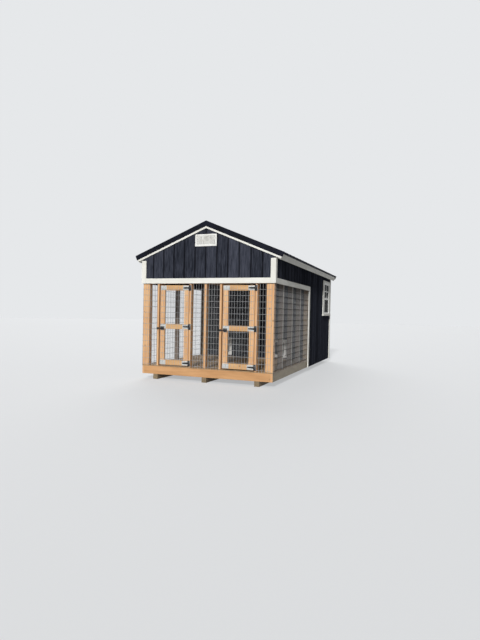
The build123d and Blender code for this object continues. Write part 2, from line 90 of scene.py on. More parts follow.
# Welded wire of 2 by 4 inch cells, and its staples
wire_radius = 0.0023
wire_lap = 2.1
wire_column = 0.0508
wire_row = 0.1016
wire_row_height = 1.5893
staple_length = 0.012
staple_radius = 0.0009
staple_rise = 0.0078
post_staple_inset = 0.026
corner_staple_inset = 0.044
box_staple_inset = 0.012
gate_staple_margin = 0.020

# How far above and below the middle of each there is no staple
leaf_clearance = 0.058
catch_clearance = 0.030
nail_plate_clearance = 0.050
latch_clearance = 0.045

# Hardware, truss plates, screws and nails
hardware_ease = 0.0007
nail_plate_width = 0.116
nail_plate_height = 0.080
nail_plate_inset = 0.003
nail_plate_thickness = 0.0012
screw_head = 0.0042
screw_rise = 0.0024
screw_root = 0.0005
screw_taper = 0.6
strap_screw_distances = (0.030, 0.064, 0.098)
leaf_screw_offsets = (-0.038, 0.0, 0.038)
latch_screw_inset = 0.009
knob_length = 0.011
knob_radius = 0.005
knob_end_radius = 0.0058
knob_root = 0.001
rim_nail_head = 0.005
rim_nail_heights = (0.112, 0.159, 0.206)

# Windows: depths run outwards from the face of the siding
casing_thickness = 0.016
sash_ease = 0.002
window_frame_depths = (-0.060, casing_thickness)
upper_sash_depths = (-0.012, 0.010)
lower_sash_depths = (-0.040, -0.0125)
upper_pane_depths = (-0.002, 0.002)
lower_pane_depths = (-0.028, -0.024)
upright_bar_depths = (0.0015, 0.0045)
level_bar_depths = (0.001, 0.005)
screen_frame_depths = (-0.004, 0.010)
screen_depths = (0.003, 0.0038)
screen_frame_face = 0.016
screen_lap = 0.002
glazing_lap = 0.004

# Roof screws and low ribs
minor_rib_height = 0.004
minor_rib_base = 0.022
minor_rib_top = 0.45 * minor_rib_base
minor_rib_start = 0.020
minor_rib_end_gap = 0.002
roof_screw_rows = 4
first_screw_row = 0.22
last_screw_margin = 0.08
screw_beside_rib = 0.012
washer_radius = 0.0075
washer_thickness = 0.002
hex_radius = 0.0045
hex_height = 0.004


# Colours and materials


def linear(code):
    """Turns an sRGB hex colour into the linear colour that a shader takes."""
    channels = [int(code[i : i + 2], 16) / 255 for i in (1, 3, 5)]
    return [*(c / 12.92 if c <= 0.04045 else ((c + 0.055) / 1.055) ** 2.4 for c in channels), 1.0]


def set_inputs(tree, node, inputs):
    """Gives a node its inputs: each is a value, or the output of another node to link."""
    for name, value in inputs.items():
        if isinstance(value, bpy.types.NodeSocket):
            tree.links.new(value, node.inputs[name])
        else:
            node.inputs[name].default_value = value


def add_node(tree, kind, inputs, output=0, **settings):
    """Adds a shader node with its settings and inputs, and returns one of its outputs."""
    node = tree.nodes.new(kind)
    for name, value in settings.items():
        setattr(node, name, value)
    set_inputs(tree, node, inputs)
    return node.outputs[output]


def start_material(name):
    """A new material, its node tree, and the place on the object in metres."""
    material = bpy.data.materials.new(name)
    material.use_nodes = True
    tree = material.node_tree
    return material, tree, add_node(tree, "ShaderNodeTexCoord", {}, "Object")


def end_material(material, inputs, height=None, rise=0.0, strength=0.0):
    """Gives the shader its inputs, and raises the surface by a pattern, up to a rise in metres."""
    tree = material.node_tree
    if height is not None:
        bump = {"Height": height, "Distance": rise, "Strength": strength}
        inputs = {**inputs, "Normal": add_node(tree, "ShaderNodeBump", bump)}
    set_inputs(tree, tree.nodes["Principled BSDF"], inputs)
    return material


def drawn_out(along, share):
    """A scale that draws a pattern out along one axis, to 1 / share of its width."""
    return [share if axis == along else 1.0 for axis in "XYZ"]


def clouds(tree, place, width, length, along="Z", detail=4.0, roughness=0.55, distortion=0.0):
    """Cloudy values from 0 to 1, of a width in metres across an axis and a length along it."""
    scale = drawn_out(along, width / length)
    drawn = add_node(tree, "ShaderNodeMapping", {"Vector": place, "Scale": scale})
    inputs = {
        "Vector": drawn,
        "Scale": 1 / width,
        "Detail": detail,
        "Roughness": roughness,
        "Distortion": distortion,
    }
    return add_node(tree, "ShaderNodeTexNoise", inputs)


def laid_over(tree, base, colour, pattern, low=0.0, high=1.0, start=0.0, end=1.0):
    """Lays a colour over another, from a start share to an end share as a pattern goes low to high."""
    reach = {"Value": pattern, "From Min": low, "From Max": high, "To Min": start, "To Max": end}
    share = add_node(tree, "ShaderNodeMapRange", reach)
    # A mix has its two colours as inputs 6 and 7, and its mixed colour as output 2
    return add_node(tree, "ShaderNodeMix", {"Factor": share, 6: base, 7: colour}, 2, data_type="RGBA")


def beside_line(tree, place, axis, spacing, first=0.0):
    """Distance along an axis to the nearest of evenly spaced lines: 0 on one, 0.5 midway."""
    along = add_node(tree, "ShaderNodeSeparateXYZ", {"Vector": place}, axis)
    past = add_node(tree, "ShaderNodeMath", {0: along, 1: first}, operation="SUBTRACT")
    lines = add_node(tree, "ShaderNodeMath", {0: past, 1: spacing}, operation="DIVIDE")
    return add_node(tree, "ShaderNodeMath", {0: lines, 1: 0.5}, operation="PINGPONG")


def lumber(name, along, pale, dark, knot, sloped=False, patch=None):
    """Planed softwood, kiln-dried and unfinished: streaks along the grain, knots, a dry matt face.

    A patch is an axis, a distance from the middle of the building and the colour beyond it.
    """
    material, tree, place = start_material(name)
    grain = place
    if sloped:
        # Rafters fall to both sides, so the grain is sheared to follow them
        x, y, z = (add_node(tree, "ShaderNodeSeparateXYZ", {"Vector": place}, axis) for axis in "XYZ")
        run = add_node(tree, "ShaderNodeMath", {0: x}, operation="ABSOLUTE")
        fall = {0: run, 1: tan(roof_slope), 2: z}
        level = add_node(tree, "ShaderNodeMath", fall, operation="MULTIPLY_ADD")
        grain = add_node(tree, "ShaderNodeCombineXYZ", {"X": x, "Y": y, "Z": level})
    tone = clouds(tree, grain, 0.143, 0.572, along, detail=2)
    # The real streaks are 1 to 3 mm wide, too fine to show, so they are drawn 12 and 38 mm wide
    ring = clouds(tree, grain, 0.0385, 0.770, along, detail=3, distortion=1.2)
    streak = clouds(tree, grain, 0.0118, 0.236, along, detail=5, distortion=0.6)
    darker = [0.72 * channel for channel in linear(dark)[:3]] + [1.0]
    colour = laid_over(tree, linear(pale), linear(dark), tone, 0.3, 0.7)
    colour = laid_over(tree, colour, darker, ring, 0.5, 0.72, 0.0, 0.55)
    colour = laid_over(tree, colour, darker, streak, 0.52, 0.75, 0.0, 0.45)
    # Knots up to 28 mm across, one or two in each metre of board
    knot_place = add_node(tree, "ShaderNodeMapping", {"Vector": grain, "Scale": drawn_out(along, 0.6)})
    cells = {"Vector": knot_place, "Scale": 1 / 0.125}
    from_knot = add_node(tree, "ShaderNodeTexVoronoi", cells, "Distance")
    colour = laid_over(tree, colour, linear(knot), from_knot, 0.05, 0.11, 0.75, 0.0)
    if patch:
        axis, distance, patch_colour = patch
        reach = add_node(tree, "ShaderNodeSeparateXYZ", {"Vector": place}, axis)
        reach = add_node(tree, "ShaderNodeMath", {0: reach}, operation="ABSOLUTE")
        beyond = add_node(tree, "ShaderNodeMath", {0: reach, 1: distance}, operation="GREATER_THAN")
        colour = laid_over(tree, colour, linear(patch_colour), beyond)
    return end_material(material, {"Base Color": colour, "Roughness": 0.62}, streak, 0.0006, 0.6)


def trim_paint(name, along, colour, shade):
    """White exterior paint on smooth boards: even and clean, nearly matt, the grain just telling."""
    material, tree, place = start_material(name)
    dirt = clouds(tree, place, 0.111, 0.370, along, detail=5)
    ridge = clouds(tree, place, 0.00667, 0.1334, along, distortion=0.5)
    painted = {
        "Base Color": laid_over(tree, linear(colour), linear(shade), dirt, 0.35, 0.75),
        "Roughness": 0.48,
        "Specular IOR Level": 0.12,
    }
    return end_material(material, painted, ridge, 0.0006, 0.5)


def siding_paint(name, across):
    """Engineered-wood siding in flat blue-black paint: embossed cedar grain, boards of uneven tone.

    The film has no gloss of its own, so the walls stay dark where they are seen at a low angle.
    """
    material, tree, place = start_material(name)
    along = add_node(tree, "ShaderNodeSeparateXYZ", {"Vector": place}, across)
    boards = add_node(tree, "ShaderNodeMath", {0: along, 1: groove_pitch}, operation="DIVIDE")
    board = add_node(tree, "ShaderNodeMath", {0: boards}, operation="FLOOR")
    tone = add_node(tree, "ShaderNodeTexWhiteNoise", {"W": board}, "Value", noise_dimensions="1D")
    wear = clouds(tree, place, 0.0208, 0.2311, detail=7, roughness=0.62)
    board_share = add_node(tree, "ShaderNodeMapRange", {"Value": tone, "To Max": 0.4})
    wear_range = {"Value": wear, "From Min": 0.34, "From Max": 0.7, "To Max": 0.65}
    wear_share = add_node(tree, "ShaderNodeMapRange", wear_range)
    pale = add_node(tree, "ShaderNodeMath", {0: board_share, 1: wear_share}, operation="ADD")
    colour = laid_over(tree, linear("#1c1f26"), linear("#4f525e"), pale)
    # The embossed grain is drawn 8 mm wide, because at its real 3 mm it wouldn't show
    grain = clouds(tree, place, 0.00833, 0.119, detail=6, distortion=0.8)
    colour = laid_over(tree, colour, linear("#0f1115"), grain, 0.5, 0.75, 0.0, 0.5)
    # Painted shade: the grooves and the boards just beside them are darkened, where paint lies thick and
    # shade gathers
    groove = beside_line(tree, place, across, groove_pitch)
    colour = laid_over(tree, colour, linear("#0b0c10"), groove, 0.03, 0.1, 0.75, 0.0)
    painted = {"Base Color": colour, "Roughness": 0.6, "Specular IOR Level": 0.0}
    return end_material(material, painted, grain, 0.0012, 0.7)


def strand_board(name, pale, dark):
    """Strand board: flakes about 18 by 52 mm, pressed flat in every direction."""
    material, tree, place = start_material(name)
    turned = add_node(tree, "ShaderNodeMapping", {"Vector": place, "Rotation": (0.4, 0.3, 0.9)})
    drawn = add_node(tree, "ShaderNodeMapping", {"Vector": turned, "Scale": (1.0, 0.35, 0.35)})
    flakes = add_node(tree, "ShaderNodeTexVoronoi", {"Vector": drawn, "Scale": 1 / 0.0182}, "Color")
    tone = add_node(tree, "ShaderNodeSeparateColor", {"Color": flakes}, "Red")
    colour = laid_over(tree, linear(pale), linear(dark), tone)
    return end_material(material, {"Base Color": colour, "Roughness": 0.7}, tone, 0.0006, 0.6)


def roof_steel():
    """Roll-formed steel with baked black paint: smooth, slightly wavy, a broad and weak sheen."""
    material, tree, place = start_material("prepainted_roof_steel")
    dust = clouds(tree, place, 0.2, 0.2, detail=6)
    wave = clouds(tree, place, 0.333, 0.333, detail=1)
    coated = {
        "Base Color": laid_over(tree, linear("#080a13"), linear("#151826"), dust, 0.4, 0.8),
        "Roughness": 0.5,
        "Specular IOR Level": 0.1,
    }
    return end_material(material, coated, wave, 0.002, 0.4)


def spangled(tree, place, bright, dull):
    """The faint patchy crystals of hot-dipped zinc, about 6 mm across."""
    crystals = {"Vector": place, "Scale": 1 / 0.00625}
    tints = add_node(tree, "ShaderNodeTexVoronoi", crystals, "Color")
    patch = add_node(tree, "ShaderNodeSeparateColor", {"Color": tints}, "Red")
    return laid_over(tree, linear(bright), linear(dull), patch)


def wire_coat(name, bright, dull, roughness):
    """Hot-dipped zinc on welded wire: grey and spangled, no longer shiny."""
    material, tree, place = start_material(name)
    colour = spangled(tree, place, bright, dull)
    return end_material(material, {"Base Color": colour, "Roughness": roughness, "Metallic": 0.2})


def side_wire_painted_shade():
    """Zinc with painted shade: dark along the level wires and light on the upright wires between them."""
    material, tree, place = start_material("welded_wire_rows_painted_shade")
    plain = spangled(tree, place, "#a4a6a7", "#818385")
    from_row = beside_line(tree, place, "Z", wire_row, wire_row_height)
    near_row = {0: from_row, 1: 1.5 * wire_radius / wire_row}
    painted_shade_row = add_node(tree, "ShaderNodeMath", near_row, operation="LESS_THAN")
    colour = laid_over(tree, plain, linear("#303234"), painted_shade_row)
    return end_material(material, {"Base Color": colour, "Roughness": 0.62})


def truss_plate_zinc():
    """Galvanised truss plate: punched in rows of slots whose teeth are driven into the wood."""
    material, tree, place = start_material("galvanised_truss_plate")
    plain = spangled(tree, place, "#dcdcd8", "#c3c5c3")
    # Slots 3.6 by 11 mm, a half and a whole inch apart
    across = {0: beside_line(tree, place, "X", 0.0127), 1: 0.14}
    upward = {0: beside_line(tree, place, "Z", 0.0254), 1: 0.22}
    sides = [add_node(tree, "ShaderNodeMath", near, operation="LESS_THAN") for near in (across, upward)]
    slot = add_node(tree, "ShaderNodeMath", dict(enumerate(sides)), operation="MULTIPLY")
    # The slots are painted dark, as painted shade in the punched holes
    colour = laid_over(tree, plain, linear("#4a4640"), slot)
    return end_material(material, {"Base Color": colour, "Roughness": 0.45, "Metallic": 0.35})


def hardware_coat():
    """Powder-coated steel hardware: black, worn paler in places, with a fine orange-peel texture."""
    material, tree, place = start_material("powder_coated_hardware")
    wear = clouds(tree, place, 0.0167, 0.0167)
    peel = clouds(tree, place, 0.00111, 0.00111, detail=1)
    colour = laid_over(tree, linear("#0c0c0e"), linear("#1d1d20"), wear, 0.45, 0.8)
    return end_material(material, {"Base Color": colour, "Roughness": 0.42}, peel, 0.0002, 0.4)


def vinyl():
    """White moulded vinyl: smooth and clean, with a slight gloss."""
    material, tree, place = start_material("white_vinyl")
    dirt = clouds(tree, place, 0.0714, 0.0714, detail=5)
    grit = clouds(tree, place, 0.0025, 0.0025, detail=1)
    colour = laid_over(tree, linear("#f0f0ec"), linear("#dcdbd4"), dirt, 0.45, 0.85)
    return end_material(material, {"Base Color": colour, "Roughness": 0.38}, grit, 0.0001, 0.3)


def window_glass():
    """Float glass coloured nearly black, as painted shade for the dark room behind it, with a faint clear
    reflection.
    """
    material, tree, place = start_material("float_glass_painted_shade")
    haze = clouds(tree, place, 0.167, 0.167, detail=3)
    pane = {
        "Base Color": laid_over(tree, linear("#20262b"), linear("#2c343a"), haze),
        "Roughness": 0.04,
        "Alpha": 0.8,
        "Specular IOR Level": 0.0,
        "Coat Weight": 0.14,
        "Coat Roughness": 0.04,
    }
    return end_material(material, pane)


def insect_screen():
    """Black fibreglass insect screen: a dark veil.

    Its threads are 1.4 mm apart, too fine to show, so they are drawn 4 mm apart.
    """
    material, tree, place = start_material("fibreglass_insect_screen")
    sides = [beside_line(tree, place, axis, 0.004) for axis in "YZ"]
    weave = add_node(tree, "ShaderNodeMath", dict(enumerate(sides)), operation="MINIMUM")
    colour = laid_over(tree, linear("#24262a"), linear("#121316"), weave, 0.05, 0.2)
    return end_material(material, {"Base Color": colour, "Roughness": 0.8, "Alpha": 0.7})


def outer_corner(node):
    """Highest corner of a CAD node, which is its outermost on the right and at the back."""
    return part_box(node)[1]


new_z = lumber("new_spruce_upright", "Z", "#e7ba88", "#d6a270", "#8a5c38")
# The level boards are painted a little darker than the upright ones, as painted shade
new_x = lumber("new_spruce_across", "X", "#dcb27e", "#ca9a66", "#7f5633")
new_y = lumber("new_spruce_lengthwise", "Y", "#dfb384", "#cb9a68", "#7c5233")
# Outside the walls the rafters are painted with the trim
painted_tails = ("X", outer_corner("box_siding_right").x + tail_gap, "#eeede6")
rafter_colours = ("#dfb384", "#cb9a68", "#7c5233")
new_sloped = lumber("new_spruce_rafter", "X", *rafter_colours, sloped=True, patch=painted_tails)
# The studs are weathered grey wood darkened with painted shade, and their outer faces are painted light,
# where light falls on them
lit_outer_face_paint = ("X", outer_corner("run_studs").x - lit_face_depth, "#dcd7ce")
grey_shaded_z = lumber("weathered_spruce_painted_shade_upright", "Z", "#82756a", "#65594e", "#3d332b", patch=lit_outer_face_paint)
# The faces of the rims are grey, partly weathering and partly a painted shade tint, and their sawn ends
# keep the tan of the bare wood
sawn_ends = ("Y", outer_corner("side_rims").y - sawn_depth, "#d9a774")
rim_y = lumber("weathered_rim_painted_shade_lengthwise", "Y", "#c2b7a5", "#a0947f", "#5d5140", patch=sawn_ends)
treated_y = lumber("treated_pine_lengthwise", "Y", "#8d7b5f", "#6f5f48", "#3c3022")
treated_x = lumber("treated_pine_across", "X", "#d9a774", "#c08e5d", "#6b482b")
trim_z = trim_paint("white_trim_upright", "Z", "#f0efe8", "#e2e0d6")
trim_x = trim_paint("white_trim_across", "X", "#f0efe8", "#e2e0d6")
trim_y = trim_paint("white_trim_lengthwise", "Y", "#eeede6", "#dfddd4")
siding_x = siding_paint("charcoal_siding_ends", "X")
siding_y = siding_paint("charcoal_siding_sides", "Y")
deck = strand_board("strand_board_deck", "#a58863", "#8c7050")
lining = strand_board("strand_board_lining", "#b39b7a", "#9b8465")
steel = roof_steel()
wire_zinc = wire_coat("galvanised_welded_wire", "#bbbdbf", "#9a9d9f", 0.48)
# The partition's wire is a darker copy of the zinc, as painted shade inside the runs
painted_shade_zinc = wire_coat("welded_wire_painted_shade", "#86898b", "#66696b", 0.55)
side_zinc_painted_shade = side_wire_painted_shade()
plate_zinc = truss_plate_zinc()
hardware = hardware_coat()
white_vinyl = vinyl()
glass = window_glass()
screen_cloth = insect_screen()


# Pieces


def block(bm, low, high):
    """Adds a square block between two corners and returns its corners."""
    low, high = Vector(low), Vector(high)
    place = Matrix.LocRotScale((low + high) / 2, None, high - low)
    return bmesh.ops.create_cube(bm, size=1.0, matrix=place)["verts"]


def rod(bm, start, end, radius, sides, end_radius=None):
    """Adds a straight rod with closed ends, or a taper when it gets an end radius."""
    start, end = Vector(start), Vector(end)
    run = end - start
    turn = run.to_track_quat("Z", "Y")
    made = bmesh.ops.create_cone(
        bm,
        cap_ends=True,
        segments=sides,
        radius1=radius,
        radius2=radius if end_radius is None else end_radius,
        depth=run.length,
        matrix=Matrix.LocRotScale((start + end) / 2, turn, None),
    )
    return made["verts"]


def ease(bm, width, segments=2):
    """Rounds every sharp edge, as planed boards and pressed parts have it."""
    sharp = [e for e in bm.edges if len(e.link_faces) == 2 and e.calc_face_angle() > radians(25)]
    bmesh.ops.bevel(
        bm,
        geom=sharp,
        offset=width,
        offset_type="OFFSET",
        segments=segments,
        profile=0.5,
        affect="EDGES",
        material=-1,
        clamp_overlap=True,
    )


def raise_faces(bm, faces, height):
    """Extrudes faces by a height along +Z and returns the raised ones."""
    made = bmesh.ops.extrude_face_region(bm, geom=faces)["geom"]
    raised = [v for v in made if isinstance(v, bmesh.types.BMVert)]
    bmesh.ops.translate(bm, verts=raised, vec=(0, 0, height))
    return [f for f in made if isinstance(f, bmesh.types.BMFace)]


def add_mesh(bm, part, place=None):
    """Adds a finished bmesh to another, at its place, and frees it."""
    if place is not None:
        bmesh.ops.transform(part, matrix=place, verts=part.verts)
    held = bpy.data.meshes.new("held")
    part.to_mesh(held)
    part.free()
    bm.from_mesh(held)
    bpy.data.meshes.remove(held)


def finish_piece(bm, name, material, body, replaced=(), smooth=None):
    """Turns a bmesh into a piece that rides on a body and may stand for CAD nodes."""
    mesh = bpy.data.meshes.new(name)
    bmesh.ops.recalc_face_normals(bm, faces=bm.faces)
    bm.to_mesh(mesh)
    bm.free()
    mesh.materials.append(material)
    if smooth:
        mesh.shade_smooth()
        mesh.set_sharp_from_angle(angle=radians(smooth))
    piece = bpy.data.objects.new(name, mesh)
    bpy.context.scene.collection.objects.link(piece)
    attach(piece, body)
    if replaced:
        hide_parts(*replaced)


def dressed(node, material, width=board_ease, segments=2, body="building", smooth=None):
    """A copy of a CAD node with its edges eased, which stands for the node."""
    bm = bmesh.new()
    bm.from_mesh(nodes[node].data)
    bmesh.ops.remove_doubles(bm, verts=bm.verts, dist=1e-5)
    bmesh.ops.dissolve_limit(bm, angle_limit=radians(1), verts=bm.verts, edges=bm.edges)
    ease(bm, width, segments)
    finish_piece(bm, "eased_" + node, material, body, [node], smooth)


# Boards that keep the CAD shape, with eased edges
for node, material, slot in (
    ("skids", treated_y, "rim_lumber"),
    ("side_rims", rim_y, "rim_lumber"),
    ("cross_joists", treated_x, "rim_lumber"),
    ("corner_post_left", new_z, "new_lumber"),
    ("corner_post_right", new_z, "new_lumber"),
    ("centre_post", new_z, "new_lumber"),
    ("gate_jambs", new_z, "new_lumber"),
    ("front_header", new_x, "new_lumber"),
    ("run_studs", grey_shaded_z, "new_lumber"),
    ("top_plates", new_y, "new_lumber"),
    ("partition_rail", new_y, "new_lumber"),
    ("partition_post", new_z, "new_lumber"),
    ("rafters", new_sloped, "new_lumber"),
    ("ridge_board", new_y, "new_lumber"),
    ("front_band", trim_x, "white_trim"),
    ("corner_boards", trim_z, "white_trim"),
    ("side_bands", trim_y, "white_trim"),
    ("run_end_boards", trim_z, "white_trim"),
    ("fascias", trim_y, "white_trim"),
    ("rake_boards", trim_x, "white_trim"),
):
    dressed(node, material)

dressed("dog_door_frames", white_vinyl, door_frame_ease)
for node in ("front_vent", "back_vent"):
    dressed(node, white_vinyl, vent_ease)

# CAD nodes that stay and only get their material
for node, material in (
    ("run_floor", deck),
    ("box_floor", deck),
    ("roof_sheathing", lining),
    ("box_wall_left", lining),
    ("box_wall_right", lining),
    ("back_wall", lining),
    ("roof_panels", steel),
    ("ridge_cap", steel),
    ("gable_trims", steel),
    ("eave_trims", steel),
):
    mesh = nodes[node].data
    mesh.materials.clear()
    mesh.materials.append(material)


# Grooved siding


def wall_place(outward, origin):
    """Turns flat wall coordinates (across, up, out) to a wall that faces outward."""
    up = Vector((0, 0, 1))
    out = Vector(outward)
    across = up.cross(out)
    turn = Matrix((across, up, out)).transposed().to_4x4()
    return Matrix.Translation(origin) @ turn


def grooved_sheet(outline, holes, thickness):
    """A siding sheet in flat wall coordinates: a back, holes, and boards between grooves."""
    bm = bmesh.new()
    bm.faces.new([bm.verts.new((across, up, 0)) for across, up in outline])
    left = min(across for across, up in outline)
    right = max(across for across, up in outline)
    grooves = []
    index = int(left // groove_pitch)
    while index * groove_pitch < right:
        middle = index * groove_pitch
        if left + groove_width < middle < right - groove_width:
            grooves.append(middle)
        index += 1
    across_wall, up_wall = (1, 0, 0), (0, 1, 0)
    half_widths = (-groove_width / 2, groove_width / 2)
    cuts = [(middle + half, across_wall) for middle in grooves for half in half_widths]
    for low_across, high_across, low_up, high_up in holes:
        cuts += [(low_across, across_wall), (high_across, across_wall)]
        cuts += [(low_up, up_wall), (high_up, up_wall)]
    # Holes at the same height share their level cuts
    for distance, normal in dict.fromkeys(cuts):
        geometry = bm.verts[:] + bm.edges[:] + bm.faces[:]
        bmesh.ops.bisect_plane(bm, geom=geometry, plane_co=Vector(normal) * distance, plane_no=normal)

    def in_hole(face):
        centre = face.calc_center_median()
        return any(a < centre.x < b and c < centre.y < d for a, b, c, d in holes)

    def on_board(face):
        centre = face.calc_center_median().x
        return all(abs(centre - middle) > groove_width / 2 for middle in grooves)

    bmesh.ops.delete(bm, geom=[f for f in bm.faces if in_hole(f)], context="FACES")
    front = raise_faces(bm, bm.faces[:], thickness - groove_depth)
    boards = [f for f in front if on_board(f)]
    raise_faces(bm, boards, groove_depth)
    # The raised boards leave their first faces inside the sheet
    bmesh.ops.delete(bm, geom=boards, context="FACES")
    return bm


def gable(node, flat=0.0):
    """The outline of a gable wall from a CAD node's box, in X and Z."""
    low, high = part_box(node)
    eave = high.z - (high.x - flat) * tan(roof_slope)
    top = [(flat, high.z), (-flat, high.z)] if flat else [(0, high.z)]
    return [(low.x, low.z), (high.x, low.z), (high.x, eave), *top, (low.x, eave)]


def side_wall(side, low, high):
    """The outline of a side wall between two corners of a box, in wall coordinates."""
    near, far = sorted((side * low.y, side * high.y))
    return [(near, low.z), (far, low.z), (far, high.z), (near, high.z)]


def add_siding(name, node, outward, outline, holes, material):
    """Puts a grooved sheet in the place of a CAD node, flush with its outer face."""
    low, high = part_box(node)
    out = Vector(outward)
    thickness = abs((high - low).dot(out))
    back_x = (low.x if out.x > 0 else high.x) if out.x else 0
    back_y = (low.y if out.y > 0 else high.y) if out.y else 0
    bm = grooved_sheet(outline, holes, thickness)
    place = wall_place(outward, (back_x, back_y, 0))
    bmesh.ops.transform(bm, matrix=place, verts=bm.verts)
    finish_piece(bm, name, material, "building", [node])


vent_low, vent_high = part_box("front_vent")
vent_hole = (
    vent_low.x + vent_flange,
    vent_high.x - vent_flange,
    vent_low.z + vent_flange,
    vent_high.z - vent_flange,
)
door_low, door_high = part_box("dog_door_frames")
door_holes = [
    (
        centre - dog_door_width / 2,
        centre + dog_door_width / 2,
        door_low.z + dog_frame_face,
        door_high.z - dog_frame_face,
    )
    for centre in (-dog_door_centre, dog_door_centre)
]
for name, node, out, flat, holes in (
    ("grooved_gable", "front_gable_siding", -1, 0.0, [vent_hole]),
    ("grooved_inner_wall", "inner_wall", -1, stud / 2, door_holes),
    ("grooved_back", "back_siding", 1, 0.0, [vent_hole]),
):
    add_siding(name, node, (0, out, 0), gable(node, flat), holes, siding_x)

window_low, window_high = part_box("window_frames")
run_low, run_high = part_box("run_siding")
box_low, box_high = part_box("box_siding_right")
for side, side_name in ((-1, "left"), (1, "right")):
    hole = (*sorted((side * window_low.y, side * window_high.y)), window_low.z, window_high.z)
    outline = side_wall(side, box_low, box_high)
    add_siding(
        f"grooved_box_{side_name}",
        f"box_siding_{side_name}",
        (side, 0, 0),
        outline,
        [hole],
        siding_y,
    )

# The strips over the runs are one CAD node, so both sides go into one piece
strips = bmesh.new()
strip_thickness = box_high.x - box_low.x
for side in (-1, 1):
    strip = grooved_sheet(side_wall(side, run_low, run_high), [], strip_thickness)
    add_mesh(strips, strip, wall_place((side, 0, 0), (side * (run_high.x - strip_thickness), 0, 0)))
finish_piece(strips, "grooved_run_strips", siding_y, "building", ["run_siding"])


# Welded wire


def level_rows(low, high):
    """Heights of the level wires between two heights. All sheets hang level with each other."""
    first = int((low + wire_radius - wire_row_height) // wire_row) + 1
    last = int((high - wire_radius - wire_row_height) // wire_row)
    return [wire_row_height + index * wire_row for index in range(first, last + 1)]


def wire_panel(bm, outward, origin, left, right, low, high):
    """A panel of welded wire: upright wires on the wood and level wires over them."""
    place = wall_place(outward, origin)
    columns = round((right - left) / wire_column)
    pitch = (right - left - 2 * wire_radius) / columns
    for index in range(columns + 1):
        across = left + wire_radius + index * pitch
        start = place @ Vector((across, low, wire_radius))
        end = place @ Vector((across, high, wire_radius))
        rod(bm, start, end, wire_radius, 6)
    for row in level_rows(low, high):
        start = place @ Vector((left, row, wire_lap * wire_radius))
        end = place @ Vector((right, row, wire_lap * wire_radius))
        rod(bm, start, end, wire_radius, 6)


def wire_piece(name, node, body, panels, coat=wire_zinc):
    """A piece of welded wire that stands for a CAD node.

    Each panel is the side it faces, its origin, its left and right, and its low and high edge.
    """
    bm = bmesh.new()
    for panel in panels:
        wire_panel(bm, *panel)
    finish_piece(bm, name, coat, body, [node], smooth=70)


front_low, front_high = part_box("front_mesh")
front_face = (0, front_high.y, 0)
bay_inner = gate_opening_centre - gate_opening_half - stud + mesh_lap
bay_outer = gate_opening_centre + gate_opening_half + stud - mesh_lap
bays = ((front_low.x, -bay_outer), (-bay_inner, bay_inner), (bay_outer, front_high.x))
panels = [((0, -1, 0), front_face, *bay, front_low.z, front_high.z) for bay in bays]
wire_piece("welded_wire_front", "front_mesh", "building", panels)
for side, side_name in ((-1, "left"), (1, "right")):
    low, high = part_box(f"side_mesh_{side_name}")
    left, right = sorted((side * low.y, side * high.y))
    face = (side * min(abs(low.x), abs(high.x)), 0, 0)
    panel = ((side, 0, 0), face, left, right, low.z, high.z)
    name = f"welded_wire_{side_name}"
    wire_piece(name, f"side_mesh_{side_name}", "building", [panel], side_zinc_painted_shade)
low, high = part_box("partition_mesh")
panel = ((1, 0, 0), (low.x, 0, 0), low.y, high.y, low.z, high.z)
wire_piece("welded_wire_partition", "partition_mesh", "building", [panel], painted_shade_zinc)
for gate in ("gate_left", "gate_right"):
    low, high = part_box(f"{gate}_mesh")
    panel = ((0, -1, 0), front_face, low.x, high.x, low.z, high.z)
    wire_piece(f"welded_wire_{gate}", f"{gate}_mesh", gate, [panel])


# Gates: butt-jointed two-by-fours held by truss plates


def gate_boards(gate):
    """Stiles and rails of one gate as separate boards, so that the grain and joints show."""
    low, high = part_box(f"{gate}_frame")
    stiles, rails = bmesh.new(), bmesh.new()
    block(stiles, low, (low.x + board_width, high.y, high.z))
    block(stiles, (high.x - board_width, low.y, low.z), high)
    for middle in gate_rail_heights:
        bottom, top = middle - board_width / 2, middle + board_width / 2
        block(rails, (low.x + board_width, low.y, bottom), (high.x - board_width, high.y, top))
    ease(stiles, board_ease)
    ease(rails, board_ease)
    finish_piece(stiles, f"{gate}_stiles", new_z, gate, [f"{gate}_frame"])
    finish_piece(rails, f"{gate}_rails", new_x, gate)


def truss_plates(gate):
    """Punched plates over each joint of a gate, on its front and back."""
    low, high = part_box(f"{gate}_frame")
    bm = bmesh.new()
    for middle in gate_rail_heights:
        for left in (low.x + nail_plate_inset, high.x - nail_plate_inset - nail_plate_width):
            for face, out in ((low.y, -1), (high.y, 1)):
                near, far = sorted((face, face + out * nail_plate_thickness))
                corner = (left, near, middle - nail_plate_height / 2)
                block(bm, corner, (left + nail_plate_width, far, middle + nail_plate_height / 2))
    finish_piece(bm, f"{gate}_truss_plates", plate_zinc, gate)


for gate in ("gate_left", "gate_right"):
    gate_boards(gate)
    truss_plates(gate)
    dressed(f"{gate}_hardware", hardware, hardware_ease, 1, gate, smooth=40)
for node in ("hinge_leaves", "latch_catches"):
    dressed(node, hardware, hardware_ease, 1, smooth=40)


# Screws of the hinges and latches, staples over the wire, nails in the rim


def screw(bm, foot, out, radius=screw_head):
    """A pan-head screw on a face."""
    foot, out = Vector(foot), Vector(out)
    rod(bm, foot - out * screw_root, foot + out * screw_rise, radius, 10, screw_taper * radius)


def staple(bm, foot, out):
    """A fence staple over a level wire: two legs in the wood and a crown."""
    half = Vector((0, 0, staple_length / 2))
    top = Vector(out) * staple_rise
    foot = Vector(foot)
    rod(bm, foot - half + top, foot + half + top, staple_radius, 5)
    for end in (-half, half):
        rod(bm, foot + end, foot + end + top, staple_radius, 5)


